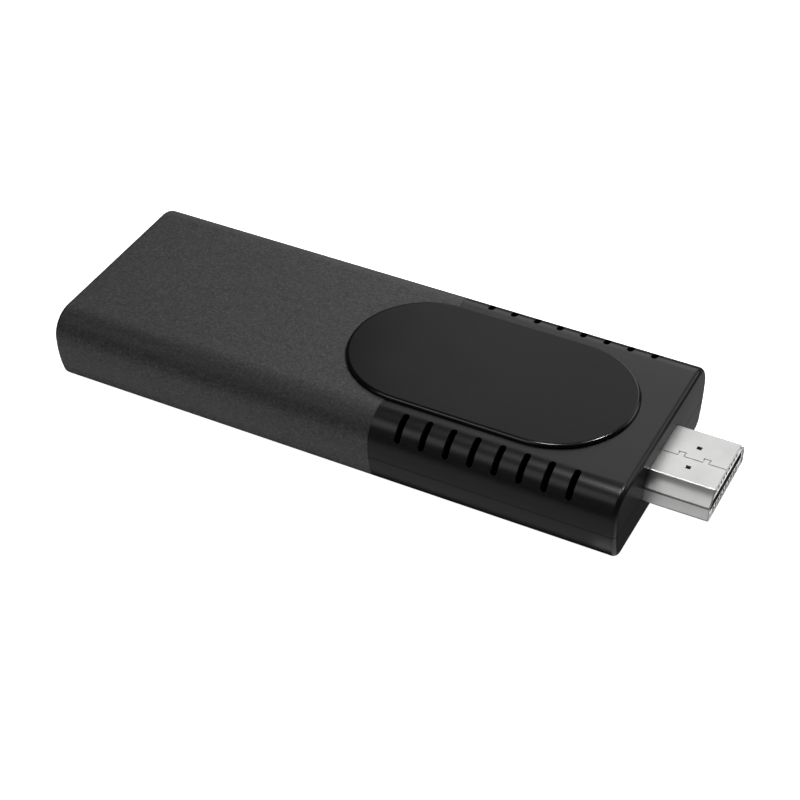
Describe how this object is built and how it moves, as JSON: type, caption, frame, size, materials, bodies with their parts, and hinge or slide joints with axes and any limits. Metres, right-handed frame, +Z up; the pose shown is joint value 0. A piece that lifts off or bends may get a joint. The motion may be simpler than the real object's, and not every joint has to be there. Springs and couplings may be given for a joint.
{
  "type": "streaming stick",
  "caption": "Flat slab-shaped streaming stick with a speckled rear sleeve, a vented black front, a raised oval plate and a plug on its front end.",
  "frame": {"origin": "centre of the whole part's box in plan, on the plane of the flat bottom", "axes": "+X along the body to the plug's tip, +Z up through the oval plate, +Y to the left seen from behind"},
  "size_m": [0.0966, 0.0336, 0.012],
  "materials": {
    "sleeve_plastic": "speckled matt grey",
    "cover_plastic": "satin black",
    "plate_plastic": "satin dark grey",
    "plate_tape": "foam tape",
    "plug_steel": "nickel plated",
    "plug_core_plastic": "moulded light grey",
    "socket_core_plastic": "moulded black",
    "contact_gold": "gold plated",
    "board_laminate": "green solder mask",
    "chip_resin": "moulded resin",
    "shield_tinplate": "tinned",
    "pad_silicone": "soft grey",
    "heat_sink_aluminium": "black anodised",
    "spreader_aluminium": "mill finish",
    "screw_steel": "black zinc",
    "antenna_brass": "tinned",
    "ferrite": "ground ferrite",
    "ceramic": "fired ceramic",
    "crystal_can": "ground",
    "button_plastic": "moulded dark grey",
    "switch_plastic": "moulded",
    "pipe_acrylic": "clear moulded",
    "led_resin": "milky resin"
  },
  "bodies": {
    "stick": {"rear_sleeve": "sleeve_plastic", "upper_cover": "cover_plastic", "lower_cover": "cover_plastic", "top_plate": "plate_plastic", "plate_adhesive": "plate_tape", "hdmi_shell": "plug_steel", "hdmi_insulator": "plug_core_plastic", "hdmi_contacts_upper": "contact_gold", "hdmi_contacts_lower": "contact_gold", "mainboard": "board_laminate", "processor": "chip_resin", "memory_chip_left": "chip_resin", "memory_chip_right": "chip_resin", "flash_chip": "chip_resin", "power_chip": "chip_resin", "shield_frame": "shield_tinplate", "shield_lid": "shield_tinplate", "lower_shield": "shield_tinplate", "processor_pad": "pad_silicone", "heat_sink_pad": "pad_silicone", "flash_pad": "pad_silicone", "spreader_pad": "pad_silicone", "heat_sink": "heat_sink_aluminium", "heat_spreader": "spreader_aluminium", "board_screws": "screw_steel", "radio_board": "board_laminate", "radio_can": "shield_tinplate", "antenna_left": "antenna_brass", "antenna_right": "antenna_brass", "crystal": "crystal_can", "inductors": "ferrite", "capacitors": "ceramic", "power_socket_shell": "plug_steel", "power_socket_tongue": "socket_core_plastic", "power_socket_contacts": "contact_gold", "reset_switch": "switch_plastic", "status_led": "led_resin", "light_pipe": "pipe_acrylic"},
    "button": {"reset_button": "button_plastic", "switch_plunger": "switch_plastic"}
  },
  "joints": [
    {"name": "reset_press", "type": "slide", "parent": "stick", "child": "button", "axis": [1, 0, 0], "range_m": [0, 0.0003], "stiffness_N_per_m": 800}
  ]
}
